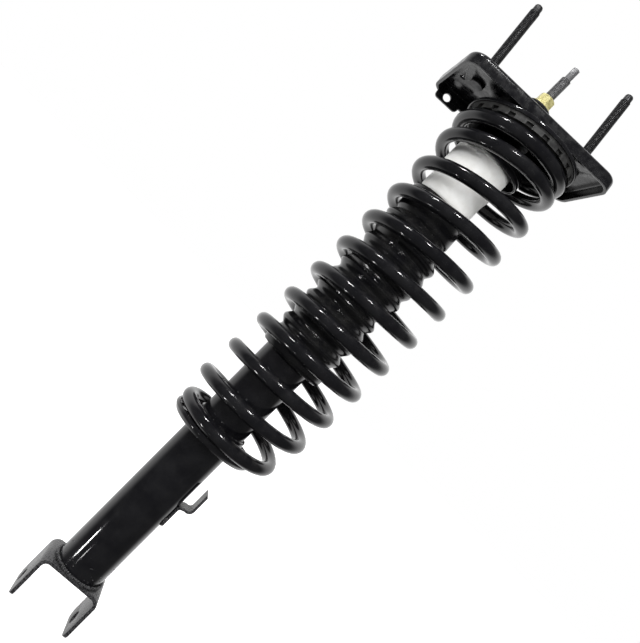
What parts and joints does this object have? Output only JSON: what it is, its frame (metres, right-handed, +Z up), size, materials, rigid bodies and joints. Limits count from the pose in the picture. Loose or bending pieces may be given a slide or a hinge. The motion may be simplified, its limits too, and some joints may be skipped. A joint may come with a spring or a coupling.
{
  "type": "coil-over strut assembly",
  "caption": "Rear coil-over strut: tube damper inside a bowed coil spring, with an inclined stud plate on top, bump stop and bellows, and a forked clevis at the foot.",
  "frame": {"origin": "where the damper axis meets the top face of the inclined mounting plate", "axes": "+Z up along the damper axis, +X along the line of the two studs and of the clevis bolt, +Y towards the flange with the drop-down ear"},
  "size_m": [0.1793, 0.1255, 0.7469],
  "materials": {
    "black_paint": "gloss",
    "spring_coating": "gloss",
    "black_phosphate": "matte",
    "black_rubber": "matte",
    "boot_rubber": "satin",
    "white_foam": "matte",
    "yellow_zinc": "satin",
    "plain_steel": "satin",
    "chromed_rod": "polished",
    "sintered_iron": "matte",
    "ptfe_band": "matte"
  },
  "bodies": {
    "upper_mount": {"mount_bracket": "black_paint", "mount_stud_left": "black_phosphate", "mount_stud_right": "black_phosphate", "upper_spring_seat": "black_paint", "spring_isolator": "black_rubber", "lower_bushing": "black_rubber", "upper_bushing": "black_rubber"},
    "rod_assembly": {"coil_spring": "spring_coating", "piston_rod": "chromed_rod", "lower_retainer": "plain_steel", "bushing_sleeve": "plain_steel", "upper_retainer": "plain_steel", "rod_nut": "yellow_zinc", "bump_cup": "black_paint", "jounce_bumper": "white_foam", "dust_boot": "boot_rubber", "rebound_stop": "plain_steel", "rebound_valve_discs": "plain_steel", "piston": "sintered_iron", "piston_band": "ptfe_band", "compression_valve_discs": "plain_steel", "piston_nut": "plain_steel"},
    "damper_body": {"reserve_tube": "black_paint", "strike_cap": "plain_steel", "rod_seal": "black_rubber", "rod_guide": "sintered_iron", "pressure_tube": "plain_steel", "base_valve": "sintered_iron", "base_cap": "plain_steel", "lower_spring_seat": "black_paint", "clevis_bracket": "black_paint", "clevis_weld": "black_paint", "seat_weld": "black_paint", "hose_hook": "black_paint"}
  },
  "joints": [
    {"name": "mount_tilt", "type": "hinge", "parent": "upper_mount", "child": "rod_assembly", "pos_m": [0, 0, 0.0025], "axis": [1, 0, 0], "range_deg": [-1.5, 1.5], "stiffness_Nm_per_rad": 400},
    {"name": "rod_stroke", "type": "slide", "parent": "rod_assembly", "child": "damper_body", "axis": [0, 0, 1], "range_m": [0, 0.14], "stiffness_N_per_m": 27000, "springref_m": -0.03, "deforming": ["coil_spring", "dust_boot"]}
  ]
}
